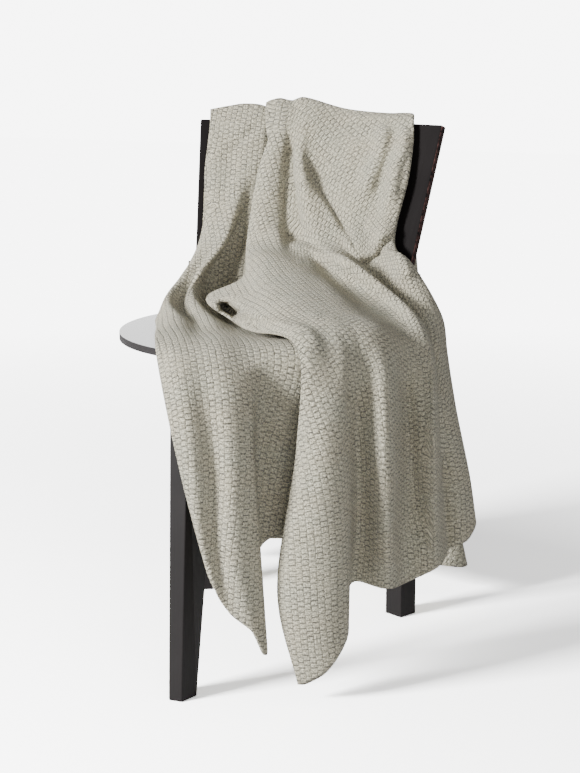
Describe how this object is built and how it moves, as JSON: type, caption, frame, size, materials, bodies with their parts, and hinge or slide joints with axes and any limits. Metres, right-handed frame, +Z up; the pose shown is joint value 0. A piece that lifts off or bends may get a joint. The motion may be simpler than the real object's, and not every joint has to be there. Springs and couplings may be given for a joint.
{
  "type": "throw blanket on a chair",
  "caption": "Grey-beige knitted throw laid over the back of a plain black wooden chair, falling in uneven folds across the seat to loose points in front.",
  "frame": {"origin": "on the floor, under the middle of the whole box", "axes": "+Z up; the chair faces -Y, and +X is to the right of someone who looks at its front"},
  "size_m": [0.5184, 0.6014, 0.767],
  "materials": {
    "throw_knit": "matt wool knit",
    "seat_wood": "black stain, satin",
    "front_leg_wood": "black stain, satin",
    "left_leg_wood": "black stain, satin",
    "right_leg_wood": "black stain, satin",
    "panel_wood": "black stain, satin"
  },
  "bodies": {
    "root": {"throw": "throw_knit", "chair_seat": "seat_wood", "leg_front": "front_leg_wood", "leg_rear_left": "left_leg_wood", "leg_rear_right": "right_leg_wood", "back_panel": "panel_wood"}
  },
  "joints": []
}
